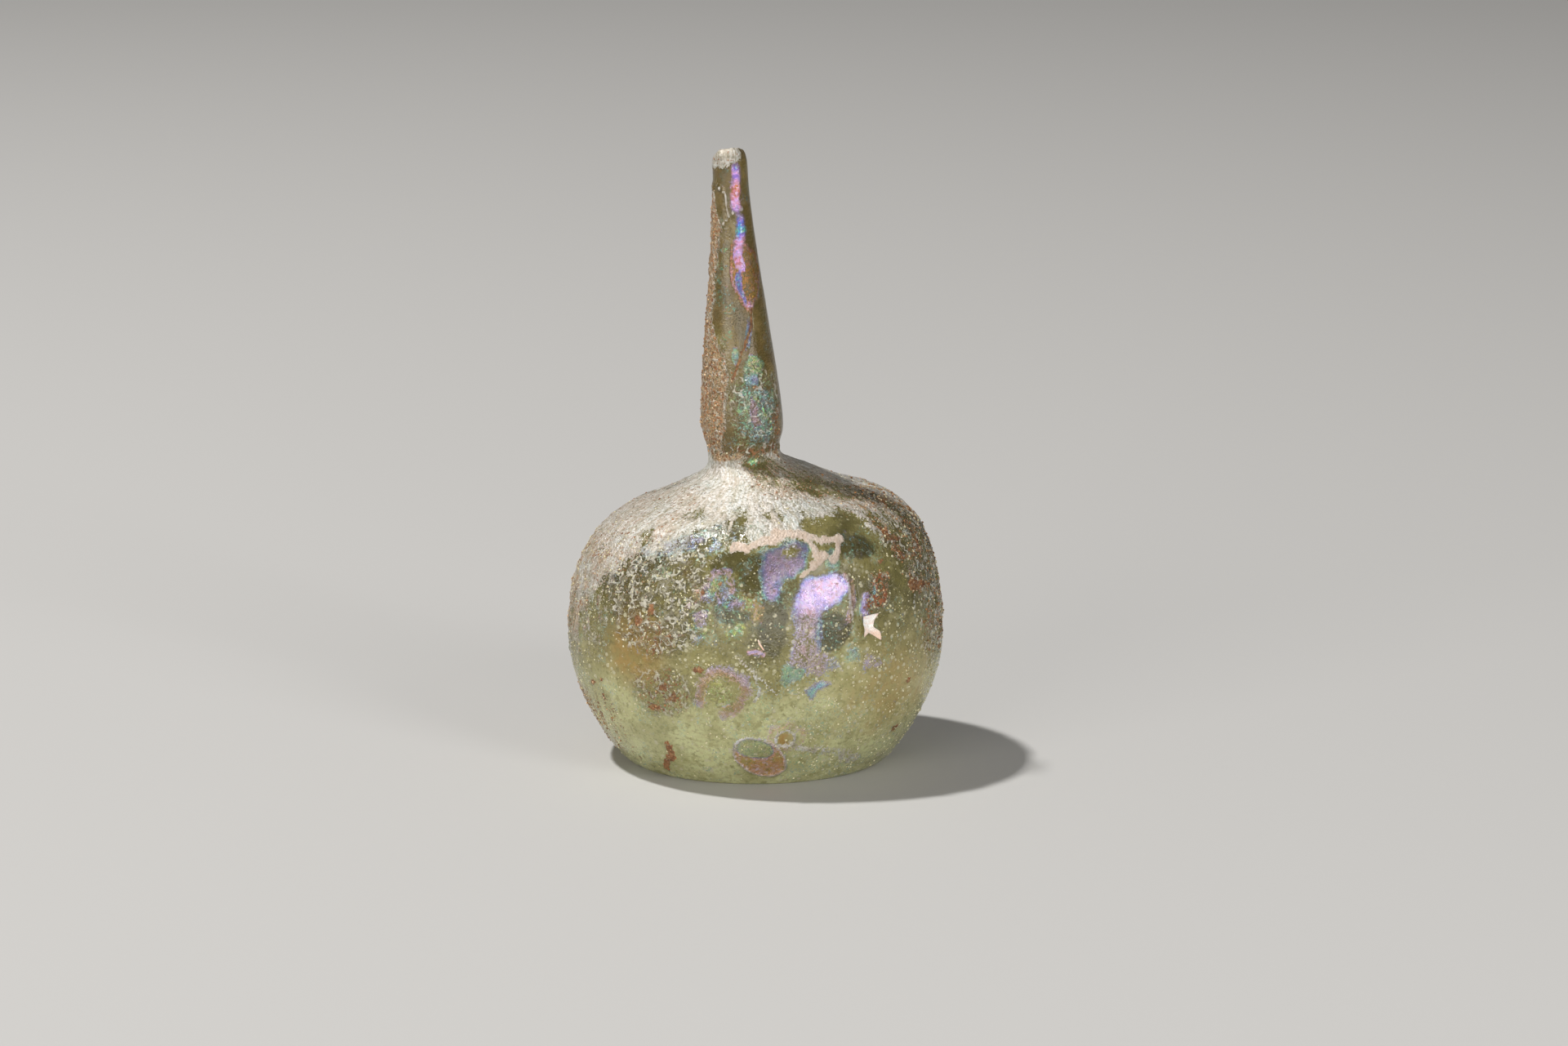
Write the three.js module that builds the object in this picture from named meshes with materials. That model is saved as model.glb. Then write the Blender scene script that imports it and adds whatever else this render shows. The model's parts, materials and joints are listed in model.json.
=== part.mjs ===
import * as THREE from "three";

// Rosewater sprinkler blown in one piece of green-tinted glass: a low, gently flattened belly, a
// sloping shoulder and a tall neck that swells above its root and tapers to a small oblique mouth.
// Millimetres, +Z up, the belly's axis through the origin and the resting ring on z = 0.

// Heights of the outside above the floor
const BELLY_HEIGHT = 30;
const SHOULDER_HEIGHT = 66.9;
const WAIST_HEIGHT = 76.5;
const SWELL_HEIGHT = 84.5;
const LIP_HEIGHT = 151.2;

// Radii of the outside, before the belly is flattened
const KICK_RADIUS = 21;
const FOOT_RADIUS = 32.3;
const BELLY_RADIUS = 46.2;
const SHOULDER_RADIUS = 24;
const WAIST_RADIUS = 8.6;
const SWELL_RADIUS = 9.9;
const LIP_RADIUS = 4.3;
const CREST_RADIUS = 3.1;

// The kick is the shallow hollow under the base, so the vessel rests on a flat ring
const KICK_DEPTH = 2.2;

// Thickness of the glass
const BASE_WALL = 3.6;
const BELLY_WALL = 2;
const NECK_WALL = 2.1;
const LIP_WALL = 1.4;

// Reach of the curves between those points
const HEEL_REACH = 1.4;
const BELLY_FALL = 0.475;
const BELLY_RISE = 0.94;
const SHOULDER_SLOPE = THREE.MathUtils.degToRad(25);
const SHOULDER_OUT = 5.5;
const SHOULDER_IN = 11.5;
const WAIST_FALL = 2.6;
const SWELL_RISE = 11.5;
const NECK_TAPER = 17;

// Heights of the lip's rounding, down the outside and down into the bore
const LIP_ROUND = 3.8;
const LIP_EDGE = 0.5;

// Unevenness of the free-blown form, and the heights where each kind starts or dies out
const DEPTH_RATIO = 0.86;
const ROUND_FROM = 60;
const SHOULDER_TILT = 0.061;
const LEVEL_FROM = 74.5;
const NECK_OFFSET = -2.8;
const OFFSET_FROM = 71.3;
const NECK_LEAN = -0.047;
const LIP_TILT = 0.15;
const LIP_TILT_FROM = 136;

// Facets around the axis, and along each curve of the outside and the inside
const SEGMENTS = 48;
const OUTSIDE_STEPS = 9;
const INSIDE_STEPS = 6;
const LIP_STEPS = 2;

// Points of one wall's half outline, from the axis at the base up to the lip, as radius and height.
function halfOutline(wall, steps) {
  const rise = Math.sin(SHOULDER_SLOPE);
  const run = Math.cos(SHOULDER_SLOPE);
  const floor = wall.floor;
  const shoulderRadius = SHOULDER_RADIUS - wall.belly * rise;
  const shoulderHeight = SHOULDER_HEIGHT - wall.belly * run;
  const bellyRadius = BELLY_RADIUS - wall.belly;
  const footRadius = FOOT_RADIUS - wall.belly;
  const waistRadius = WAIST_RADIUS - wall.neck;
  const swellRadius = SWELL_RADIUS - wall.neck;
  const lipRadius = LIP_RADIUS - wall.lip;
  const lipHeight = LIP_HEIGHT - wall.rounding;
  const path = new THREE.Path();
  path.moveTo(0, floor + KICK_DEPTH);
  path.bezierCurveTo(
    KICK_RADIUS / 2, floor + KICK_DEPTH,
    KICK_RADIUS / 2, floor,
    KICK_RADIUS, floor,
  );
  path.lineTo(footRadius, floor);
  path.bezierCurveTo(
    footRadius + HEEL_REACH + wall.belly, floor,
    bellyRadius, floor + (BELLY_HEIGHT - floor) * (1 - BELLY_FALL),
    bellyRadius, BELLY_HEIGHT,
  );
  path.bezierCurveTo(
    bellyRadius, BELLY_HEIGHT + (shoulderHeight - BELLY_HEIGHT) * BELLY_RISE,
    shoulderRadius + run * SHOULDER_OUT, shoulderHeight - rise * SHOULDER_OUT,
    shoulderRadius, shoulderHeight,
  );
  path.bezierCurveTo(
    shoulderRadius - run * SHOULDER_IN, shoulderHeight + rise * SHOULDER_IN,
    waistRadius, WAIST_HEIGHT - WAIST_FALL,
    waistRadius, WAIST_HEIGHT,
  );
  path.bezierCurveTo(
    waistRadius, WAIST_HEIGHT + (SWELL_HEIGHT - WAIST_HEIGHT) / 2,
    swellRadius, SWELL_HEIGHT - (SWELL_HEIGHT - WAIST_HEIGHT) / 2,
    swellRadius, SWELL_HEIGHT,
  );
  path.bezierCurveTo(
    swellRadius, SWELL_HEIGHT + SWELL_RISE,
    lipRadius, lipHeight - NECK_TAPER,
    lipRadius, lipHeight,
  );
  return path.getPoints(steps);
}

// The fire-rounded lip: the outside turns in over a tall quarter ellipse to the crest, and a short one
// carries it on into the bore.
function lipOutline() {
  const boreRadius = LIP_RADIUS - LIP_WALL;
  const path = new THREE.Path();
  path.absellipse(
    CREST_RADIUS, LIP_HEIGHT - LIP_ROUND,
    LIP_RADIUS - CREST_RADIUS, LIP_ROUND,
    0, Math.PI / 2,
  );
  path.absellipse(
    CREST_RADIUS, LIP_HEIGHT - LIP_EDGE,
    CREST_RADIUS - boreRadius, LIP_EDGE,
    Math.PI / 2, Math.PI,
  );
  return path.getPoints(LIP_STEPS).slice(1, -1);
}

// Moves a point of the round form to its place in the uneven one: the belly flattened front to back,
// the shoulder tilted up to one side, the neck set off the axis and leaning, the mouth cut oblique.
function unevenPlace(point) {
  const { smoothstep } = THREE.MathUtils;
  const { x, y, z } = point;
  const flat = 1 - smoothstep(z, ROUND_FROM, WAIST_HEIGHT);
  const aboveBelly = smoothstep(z, BELLY_HEIGHT, SHOULDER_HEIGHT);
  const onShoulder = aboveBelly - smoothstep(z, LEVEL_FROM, SWELL_HEIGHT);
  const inNeck = smoothstep(z, OFFSET_FROM, WAIST_HEIGHT);
  const atLip = smoothstep(z, LIP_TILT_FROM, LIP_HEIGHT);
  const centre = NECK_OFFSET * inNeck + NECK_LEAN * Math.max(z - WAIST_HEIGHT, 0);
  const lift = x * (SHOULDER_TILT * onShoulder + LIP_TILT * atLip);
  return point.set(x + centre, y * (1 - (1 - DEPTH_RATIO) * flat), z + lift);
}

const outside = halfOutline(
  { floor: 0, belly: 0, neck: 0, lip: 0, rounding: LIP_ROUND },
  OUTSIDE_STEPS,
);
const inside = halfOutline(
  { floor: BASE_WALL, belly: BELLY_WALL, neck: NECK_WALL, lip: LIP_WALL, rounding: LIP_EDGE },
  INSIDE_STEPS,
);
const section = [...outside, ...lipOutline(), ...inside.reverse()];

const form = new THREE.LatheGeometry(section, SEGMENTS);
form.rotateX(Math.PI / 2);
const places = form.getAttribute("position");
const place = new THREE.Vector3();
for (let i = 0; i < places.count; i += 1) {
  unevenPlace(place.fromBufferAttribute(places, i));
  places.setXYZ(i, place.x, place.y, place.z);
}
form.computeVertexNormals();

const glass = new THREE.MeshStandardMaterial({ color: 0x8f9468, roughness: 0.35, metalness: 0 });

const sprinkler = new THREE.Mesh(form, glass);
sprinkler.name = "sprinkler";

const part = new THREE.Group();
part.name = "rosewater_sprinkler";
part.add(sprinkler);

export default part;
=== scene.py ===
import json
import bpy
import numpy as np
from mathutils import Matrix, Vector

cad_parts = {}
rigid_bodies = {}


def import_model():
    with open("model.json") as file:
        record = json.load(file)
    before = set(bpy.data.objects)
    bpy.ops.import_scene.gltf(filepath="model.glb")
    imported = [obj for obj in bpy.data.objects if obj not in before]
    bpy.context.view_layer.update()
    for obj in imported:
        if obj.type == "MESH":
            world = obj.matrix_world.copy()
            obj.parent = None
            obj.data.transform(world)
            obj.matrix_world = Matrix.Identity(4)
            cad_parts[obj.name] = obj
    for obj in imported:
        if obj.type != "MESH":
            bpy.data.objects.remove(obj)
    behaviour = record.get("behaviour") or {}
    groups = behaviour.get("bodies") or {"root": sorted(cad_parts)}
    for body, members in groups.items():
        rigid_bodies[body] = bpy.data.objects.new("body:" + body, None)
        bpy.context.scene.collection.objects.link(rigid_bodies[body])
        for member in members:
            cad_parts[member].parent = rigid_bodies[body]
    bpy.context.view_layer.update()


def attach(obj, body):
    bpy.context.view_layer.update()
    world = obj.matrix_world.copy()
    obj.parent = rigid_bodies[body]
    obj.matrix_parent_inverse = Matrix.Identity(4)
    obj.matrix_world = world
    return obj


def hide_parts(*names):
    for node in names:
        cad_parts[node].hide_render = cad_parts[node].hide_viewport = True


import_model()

pieces = bpy.context.collection.objects

# Camera
# A long lens about a metre off looks down a little on the front of the vessel, which stands left of
# the middle of a 1920 by 1281 picture and above it.
VIEW_DISTANCE = 1.07
VIEW_DROP = np.radians(13)
VIEW_CENTRE = Vector((0, 0, 0.0753))
PICTURE_WIDTH = 1920
LENS_MM = 100
SENSOR_MM = 36
VESSEL_LEFT_PX = 34.5
VESSEL_UP_PX = 80.5

look = Vector((0, np.cos(VIEW_DROP), -np.sin(VIEW_DROP)))
look_up = Vector((0, np.sin(VIEW_DROP), np.cos(VIEW_DROP)))
metres_per_px = VIEW_DISTANCE * SENSOR_MM / LENS_MM / PICTURE_WIDTH
aim = VIEW_CENTRE + Vector((1, 0, 0)) * VESSEL_LEFT_PX * metres_per_px
aim -= look_up * VESSEL_UP_PX * metres_per_px
lens = bpy.data.cameras.new("camera")
lens.lens = LENS_MM
lens.sensor_width = SENSOR_MM
camera = bpy.data.objects.new("camera", lens)
camera.location = VIEW_CENTRE - look * VIEW_DISTANCE
camera.rotation_euler = (aim - camera.location).to_track_quat("-Z", "Y").to_euler()
pieces.link(camera)
bpy.context.scene.camera = camera

# Studio
# A wide pale floor, a soft sky all round, a key lamp high on the left and a little behind, and a tall
# soft lamp to the right of the camera, which draws the colours out of the film on the glass. A wide low
# lamp on the left and a weak one in front fill the shade.
FLOOR_REACH = 4
FLOOR_GREY = (0.5, 0.495, 0.485, 1)
FLOOR_ROUGHNESS = 0.75
SKY_GREY = (0.75, 0.73, 0.7, 1)
SKY_STRENGTH = 0.18

sky = bpy.data.worlds.new("studio_sky")
sky.use_nodes = True
backdrop = sky.node_tree.nodes["Background"]
backdrop.inputs["Color"].default_value = SKY_GREY
backdrop.inputs["Strength"].default_value = SKY_STRENGTH
bpy.context.scene.world = sky

floor_mesh = bpy.data.meshes.new("floor")
floor_corners = [(x * FLOOR_REACH, y * FLOOR_REACH, 0) for x, y in ((-1, -1), (1, -1), (1, 1), (-1, 1))]
floor_mesh.from_pydata(floor_corners, [], [(0, 1, 2, 3)])
floor = bpy.data.objects.new("floor", floor_mesh)
pieces.link(floor)
pale_floor = bpy.data.materials.new("pale_floor")
pale_floor.use_nodes = True
floor_shader = pale_floor.node_tree.nodes["Principled BSDF"]
floor_shader.inputs["Base Color"].default_value = FLOOR_GREY
floor_shader.inputs["Roughness"].default_value = FLOOR_ROUGHNESS
floor_mesh.materials.append(pale_floor)


def soft_lamp(name, place, wide, tall, watts, colour):
    """An area lamp at a place, facing the middle of the vessel."""
    lamp = bpy.data.lights.new(name, "AREA")
    lamp.shape = "RECTANGLE"
    lamp.size = wide
    lamp.size_y = tall
    lamp.energy = watts
    lamp.color = colour
    holder = bpy.data.objects.new(name, lamp)
    holder.location = place
    holder.rotation_euler = (VIEW_CENTRE - Vector(place)).to_track_quat("-Z", "Y").to_euler()
    pieces.link(holder)


soft_lamp("key_lamp", (-1.08, 0.19, 2.43), 0.14, 0.14, 66, (1, 0.985, 0.965))
soft_lamp("film_lamp", (0.86, -0.86, 0.5), 0.35, 0.9, 6, (1, 1, 1))
soft_lamp("left_fill", (-1.15, -1.5, 0.42), 1.2, 0.7, 16, (1, 0.97, 0.93))
soft_lamp("low_fill", (0.2, -1.4, 0.16), 0.9, 0.25, 4, (1, 1, 0.98))
bpy.context.scene.view_settings.view_transform = "Standard"

# The glass
# A single bubble of green-tinted glass, blown free, flattened under the base and drawn up into a neck
# that swells above its root and tapers to an oblique fire-rounded mouth. Burial has clouded it, and
# left crust on the shoulder, soil in the pits and a coloured film that has partly flaked away.
MM = 0.001
BELLY_HEIGHT, SHOULDER_HEIGHT, WAIST_HEIGHT, SWELL_HEIGHT, LIP_HEIGHT = 30, 66.9, 76.5, 84.5, 151
KICK_RADIUS, FOOT_RADIUS, BELLY_RADIUS, SHOULDER_RADIUS = 21, 32.3, 46.2, 24
WAIST_RADIUS, SWELL_RADIUS, LIP_RADIUS, CREST_RADIUS = 8.6, 9.9, 4.3, 3
KICK_DEPTH = 2.2
BASE_WALL, BELLY_WALL, NECK_WALL, LIP_WALL = 3.6, 2, 2.1, 1.4
HEEL_REACH, BELLY_FALL, BELLY_RISE = 1.4, 0.475, 0.94
SHOULDER_SLOPE, SHOULDER_OUT, SHOULDER_IN = np.radians(25), 5.5, 11.5
WAIST_FALL, SWELL_RISE, NECK_TAPER = 2.6, 11.5, 17
LIP_ROUND, LIP_EDGE, BORE_CRUST, BORE_CRUST_COVER = 4.6, 0.5, 1.6, 0.8
DEPTH_RATIO, ROUND_FROM = 0.86, 60
SHOULDER_TILT, LEVEL_FROM = 0.061, 74.5
NECK_OFFSET, OFFSET_FROM, NECK_LEAN = -2.8, 71.3, -0.047
LIP_TILT, LIP_TILT_FROM = 0.2, 136
COLUMNS = 320
FRONT_CROWDING = 0.45
UNDER_ROWS, BELLY_ROWS, NECK_ROWS, LIP_ROWS, INNER_ROWS = 10, 168, 82, 7, 34


def ease(low, high, value):
    """0 below low, 1 above high, and a smooth cubic step between."""
    t = np.clip((value - low) / (high - low), 0, 1)
    return t * t * (3 - 2 * t)


def bow(*points, steps=160):
    """Cubic Bezier curve: the four points weighted by the cubic Bernstein polynomials."""
    t = np.linspace(0, 1, steps)[:, None]
    start, pull, push, end = np.array(points, float)
    return ((1 - t) ** 3 * start + 3 * (1 - t) ** 2 * t * pull
            + 3 * (1 - t) * t ** 2 * push + t ** 3 * end)


def evenly(points, count):
    """The same line with count points, equal lengths apart."""
    run = np.concatenate([[0], np.cumsum(np.linalg.norm(np.diff(points, axis=0), axis=1))])
    at = np.linspace(0, run[-1], count)
    return np.stack([np.interp(at, run, points[:, k]) for k in (0, 1)], axis=1)


def wall_outline(floor, belly, neck, lip, rounding):
    """Half outline of a wall in mm, set in from the outside by its thicknesses: the underside from the
    axis to the heel, then heel to lip, each a run of Bezier bows between the named radii and heights."""
    rise, run = np.sin(SHOULDER_SLOPE), np.cos(SHOULDER_SLOPE)
    shoulder = np.array([SHOULDER_RADIUS - belly * rise, SHOULDER_HEIGHT - belly * run])
    along = np.array([run, -rise])
    foot, wide = FOOT_RADIUS - belly, BELLY_RADIUS - belly
    waist, swell, top = WAIST_RADIUS - neck, SWELL_RADIUS - neck, LIP_RADIUS - lip
    half = (SWELL_HEIGHT - WAIST_HEIGHT) / 2
    lip_height = LIP_HEIGHT - rounding
    under = np.vstack([
        bow((0, floor + KICK_DEPTH), (KICK_RADIUS / 2, floor + KICK_DEPTH),
            (KICK_RADIUS / 2, floor), (KICK_RADIUS, floor)),
        [(foot, floor)]])
    side = np.vstack([
        bow((foot, floor), (foot + HEEL_REACH + belly, floor),
            (wide, floor + (BELLY_HEIGHT - floor) * (1 - BELLY_FALL)), (wide, BELLY_HEIGHT)),
        bow((wide, BELLY_HEIGHT), (wide, BELLY_HEIGHT + (shoulder[1] - BELLY_HEIGHT) * BELLY_RISE),
            shoulder + along * SHOULDER_OUT, shoulder)[1:],
        bow(shoulder, shoulder - along * SHOULDER_IN, (waist, WAIST_HEIGHT - WAIST_FALL),
            (waist, WAIST_HEIGHT))[1:],
        bow((waist, WAIST_HEIGHT), (waist, WAIST_HEIGHT + half), (swell, SWELL_HEIGHT - half),
            (swell, SWELL_HEIGHT))[1:],
        bow((swell, SWELL_HEIGHT), (swell, SWELL_HEIGHT + SWELL_RISE), (top, lip_height - NECK_TAPER),
            (top, lip_height))[1:]])
    return under, side


def neck_line(z):
    """How far the neck's middle stands off the belly's axis at a height, in mm."""
    return NECK_OFFSET * ease(OFFSET_FROM, WAIST_HEIGHT, z) + NECK_LEAN * np.maximum(z - WAIST_HEIGHT, 0)


def uneven_place(x, y, z):
    """The round form moved to its uneven one: belly flattened front to back, shoulder raised to one
    side, neck set off the axis and leaning, mouth cut oblique. Millimetres in, millimetres out."""
    flat = 1 - ease(ROUND_FROM, WAIST_HEIGHT, z)
    on_shoulder = ease(BELLY_HEIGHT, SHOULDER_HEIGHT, z) - ease(LEVEL_FROM, SWELL_HEIGHT, z)
    lift = x * (SHOULDER_TILT * on_shoulder + LIP_TILT * ease(LIP_TILT_FROM, LIP_HEIGHT, z))
    return np.stack([x + neck_line(z), y * (1 - (1 - DEPTH_RATIO) * flat), z + lift], axis=-1)


def lattice(ix, iy, iz, seed):
    """A fixed number from 0 to 1 for each whole-number cell, by multiplying and folding its bits."""
    n = (ix * 374761393 + iy * 668265263 + iz * 1274126177 + seed * 974634777).astype(np.uint64)
    for shift, factor in ((13, 1274126177), (16, 2246822519)):
        n = (n ^ (n >> np.uint64(shift))) * np.uint64(factor) & np.uint64(0xFFFFFFFF)
    return ((n ^ (n >> np.uint64(15))) & np.uint64(0xFFFFFF)).astype(float) / 0xFFFFFF


def lumps(place, size, seed):
    """Value noise: the cell corners' fixed numbers, blended smoothly. Cells are size mm across."""
    q = place / size + 1000
    base = np.floor(q).astype(np.int64)
    f = q - base
    f = f * f * (3 - 2 * f)
    near = np.stack([1 - f, f])
    total = 0
    for dx, dy, dz in np.ndindex(2, 2, 2):
        weight = near[dx, ..., 0] * near[dy, ..., 1] * near[dz, ..., 2]
        total = total + weight * lattice(base[..., 0] + dx, base[..., 1] + dy, base[..., 2] + dz, seed)
    return total


def clouds(place, size, seed, layers=4):
    """Layers of value noise, each half the size and half the weight of the one before, about 0.5."""
    weights = [0.5 ** k for k in range(layers)]
    parts = [w * lumps(place, size * w, seed + 17 * k) for k, w in enumerate(weights)]
    return sum(parts) / sum(weights)


def worms(place, size, seed):
    """Winding ridges: 1 along the line where a cloud crosses its middle value, 0 away from it."""
    return 1 - ease(0, 0.1, np.abs(clouds(place, size, seed, 2) - 0.5))


under, side = wall_outline(0, 0, 0, 0, LIP_ROUND)
under_in, side_in = wall_outline(BASE_WALL, BELLY_WALL, NECK_WALL, LIP_WALL, LIP_EDGE)
turn = np.linspace(0, np.pi / 2, LIP_ROWS + 1)[1:, None]
over = np.hstack([CREST_RADIUS + (LIP_RADIUS - CREST_RADIUS) * np.cos(turn),
                  LIP_HEIGHT - LIP_ROUND + LIP_ROUND * np.sin(turn)])
into = np.hstack([CREST_RADIUS - (CREST_RADIUS - LIP_RADIUS + LIP_WALL) * np.sin(turn),
                  LIP_HEIGHT - LIP_EDGE + LIP_EDGE * np.cos(turn)])
lip = np.vstack([over, into[:-1]])
waist_at = np.searchsorted(side[:, 1], WAIST_HEIGHT)
outer = np.vstack([evenly(side[:waist_at + 1], BELLY_ROWS), evenly(side[waist_at:], NECK_ROWS)[1:]])
inner = np.vstack([under_in, side_in[1:]])[::-1]
crust_end = np.argmax(inner[:, 1] < LIP_HEIGHT - LIP_EDGE - BORE_CRUST)
bore = np.vstack([inner[:1], evenly(inner[crust_end:], INNER_ROWS - 1)])
outline = np.vstack([evenly(under, UNDER_ROWS)[:-1], outer, lip, bore])
outer_rows = UNDER_ROWS - 1 + len(outer) + len(lip)

ring_r, ring_z = outline[1:-1].T[..., None]
step = np.linspace(0, 2 * np.pi, COLUMNS, endpoint=False) - np.pi
azimuth = (step - FRONT_CROWDING * np.sin(step))[None, :]
smooth = uneven_place(ring_r * np.sin(azimuth), -ring_r * np.cos(azimuth), ring_z + 0 * azimuth)
climb = np.gradient(smooth, axis=0)
across = (np.roll(smooth, -1, axis=1) - np.roll(smooth, 1, axis=1)) / 2
outward = np.cross(across, climb)
cell_area = np.linalg.norm(outward, axis=-1)
outward /= cell_area[..., None]
outside = (np.arange(len(ring_r)) < outer_rows - 1).astype(float)[:, None] + 0 * azimuth

# Where burial has left its marks: degrees round from the front, positive to the right, and mm up
up = smooth[..., 2]
off_axis = smooth[..., 0] - neck_line(ring_z)
degrees = np.degrees(np.arctan2(off_axis, -smooth[..., 1]))
girth = np.hypot(off_axis, smooth[..., 1])
ragged = clouds(smooth, 7, 3) - 0.5
fringe = clouds(smooth, 2.2, 5, 3) - 0.5
grain = clouds(smooth, 1.6, 23, 2)
wander_across = 3 * (clouds(smooth, 5, 131, 3) - 0.5) + 1.8 * fringe
wander_up = 3 * (clouds(smooth, 5, 137, 3) - 0.5) + 1.8 * (clouds(smooth, 2.2, 139, 3) - 0.5)


def nearest_side(places, wander):
    """Distance in mm from each point to the nearest side of a line of places, in degrees and mm, and
    whether the line goes round the point. wander says how far clouds pull the line about."""
    turned = degrees + np.degrees(wander * wander_across / girth)
    raised = up + wander * wander_up
    nearest = np.full(degrees.shape, 1e9)
    within = np.zeros(degrees.shape, bool)
    for (a0, h0), (a1, h1) in zip(places[:-1], places[1:]):
        px, py = np.radians(turned - a0) * girth, raised - h0
        qx, qy = np.radians(a1 - a0) * girth, h1 - h0
        t = np.clip((px * qx + py * qy) / (qx * qx + qy * qy), 0, 1)
        nearest = np.minimum(nearest, np.hypot(px - t * qx, py - t * qy))
        crossed = (raised < h0) != (raised < h1)
        within ^= crossed & ((px * qy - qx * py) * np.sign(qy) < 0)
    return nearest, within


def in_shape(corners, wander):
    """How many mm each point lies inside an outline, negative outside it, by its nearest side."""
    nearest, within = nearest_side(corners + corners[:1], wander)
    return np.where(within, nearest, -nearest)


def in_band(line, half, wander):
    """How many mm each point lies inside a band about a line, negative outside it: its half width less
    the distance to the line."""
    return half - nearest_side(line, wander)[0]


def in_oval(at, height, wide, tall, wander, lean=0):
    """How many mm each point lies inside an oval, about, negative outside it. wide and tall are its
    half sizes in mm, and lean is how many degrees its wide axis drops to the right."""
    px = np.radians(degrees - at) * girth + wander * wander_across
    py = up - height + wander * wander_up
    tip = np.radians(lean)
    along, aside = px * np.cos(tip) - py * np.sin(tip), px * np.sin(tip) + py * np.cos(tip)
    return (1 - np.hypot(along / wide, aside / tall)) * min(wide, tall)


def ovals(rows):
    """The strongest of several ovals at each point. A row is degrees, mm up, half sizes and wander, then a
    strength and the depths in mm where it begins and where it is full."""
    return np.max([strength * ease(low, high, in_oval(*oval))
                   for *oval, strength, low, high in rows], axis=0)


# Pale crust: thick and streaked down the shoulder, thinner on its right, broken on the belly's sides, and
# thinned where the neck's cast shadow falls on the right of the shoulder, which is a painted shadow
CRUST_EDGE = ((-180, 52), (-100, 43), (-83, 41), (-72, 42.5), (-63, 45), (-57, 50), (-50, 57),
              (-36, 58.6), (-25, 60), (-12.5, 61.1), (5, 62), (18, 63), (28, 64.4), (48, 65), (62, 63.5),
              (80, 60), (100, 54), (180, 52))
NECK_SHADOW_LINE = [(13, 74.2), (41, 73), (61, 70.6), (74, 68), (78, 64), (82, 60)]
RIGHT_LUMPS = [(57, 62.4), (59, 59), (63, 55.6), (65, 50.4), (72, 44.4), (75, 38), (79, 31)]
CRUST_WINDOWS = ((30, 64.4, 4.5, 2), (42, 60.5, 4, 2.6), (-9, 66, 3.6, 1.4), (-36, 65.8, 4, 1.2),
                 (8, 66.5, 3, 1), (-22, 62.5, 4, 1.1), (-50, 60, 3, 1.4))
NECK_CRUST_EDGE = ((76, -34), (84, -27), (90, -20), (96, -10), (102, -13), (106, -30), (110, -52),
                   (120, -46), (128, -38), (134, -30), (138, -58), (151, -75))
RIBBONS = (([(-10, 60.4), (-3, 60.2), (3, 61.7), (9, 62.8), (15, 63.3), (23, 62.6), (28, 61.4), (37, 61)],
            0.95),
           ([(22, 61.5), (25, 58.2), (28, 58.3), (24, 56.8), (18, 54.4)], 0.8),
           ([(36, 61.2), (33, 59), (30, 57.2)], 0.75))
PALE_RIMS = (([(-7, 35.6), (-1, 31.5), (7, 26)], 0.25, 0.15),
             ([(-1, 31.5), (1, 27.3), (-0.5, 24.5)], 0.4, 0.3),
             ([(-47, 143.3), (-18, 141.5), (-14, 137.8), (-9, 136.1), (8, 137.3), (31, 137.7)], 0.25, 0.1),
             ([(-9, 136.1), (-31, 133.7), (-67, 134.5)], 0.25, 0.1),
             ([(34.5, 53.4), (34.3, 48.3), (34.4, 43)], 0.35, 0.5),
             ([(61.9, 45.5), (60.8, 42.4)], 0.3, 0.3), ([(65.2, 40.1), (64.9, 37.3)], 0.3, 0.3))
LIME_STREAK = [(12, 12.4), (21, 10.6), (31, 9), (45, 5)]
run_up = np.cumsum(np.linalg.norm(climb, axis=-1), axis=0)
facing = np.radians(degrees)
slope_place = np.stack([26 * np.sin(facing), 26 * np.cos(facing), run_up / 6], axis=-1)
streaks = clouds(slope_place + 1.2 * ragged[..., None], 1.5, 29, 3) - 0.5
upright_place = np.stack([44 * np.sin(facing), 44 * np.cos(facing), up / 7], axis=-1)
drips = clouds(upright_place, 1.4, 31, 3) - 0.5

on_belly = 1 - ease(77, 79.5, up)
above_edge = up - np.interp(degrees, *np.array(CRUST_EDGE).T)
crust = ease(-3.5, 5, above_edge + 9 * ragged + 5 * streaks + 4 * fringe) * on_belly
crust *= 0.86 + 0.6 * streaks + 0.6 * ragged + 0.14 * ease(-6, 2, in_oval(-14, 70, 10, 4, 1))
# Painted shadow: the crust is thinned along the line of the neck's cast shadow, so the olive glass darkens
# the band
painted_shadow_band = in_band(NECK_SHADOW_LINE, 3, 1)
crust -= 0.52 * ease(-1.5, 1.5, painted_shadow_band) * (crust > 0)
crust *= 1 - 0.14 * ease(-34, -60, degrees)
for window in CRUST_WINDOWS:
    crust -= 0.5 * ease(-0.6, 0.8, in_oval(*window, 1)) * (crust > 0)
left_side = ease(-48, -84, degrees + 40 * ragged + 50 * fringe)
left_side *= ease(-145, -105, degrees + 30 * ragged)
left_side *= ease(16, 38, up + 20 * ragged) * ease(66, 54, up)
right_side = ease(56, 74, degrees + 26 * ragged) * ease(130, 92, degrees + 30 * ragged)
right_side *= ease(18, 42, up + 20 * ragged) * ease(72, 66, up)
right_side = np.maximum(right_side, ease(-2.5, 0.8, in_band(RIGHT_LUMPS, 2.2, 1.2)))
past_edge = degrees - np.interp(up, *np.array(NECK_CRUST_EDGE).T)
neck_crust = ease(6, -10, past_edge + 26 * ragged) * (1 - on_belly)
neck_crust *= ease(146, 139, up) * ease(-160, -100, degrees + 40 * ragged)
lip_crust = np.maximum(
    ease(147.4, 148.8, ring_z + 3 * fringe) * ease(112, 66, np.abs(degrees + 80)),
    ease(147.9, 148.9, ring_z + 3 * fringe) * ease(30, 60, np.abs(degrees - 85)))
ribbon = np.max([in_band(line, half, 0.7) for line, half in RIBBONS], axis=0)
ribbon_cover = ease(-0.2, 0.5, ribbon + 1.4 * fringe)
root_film = ease(-1, 0.5, in_oval(14, 76.3, 3, 1.3, 0.5))
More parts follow.
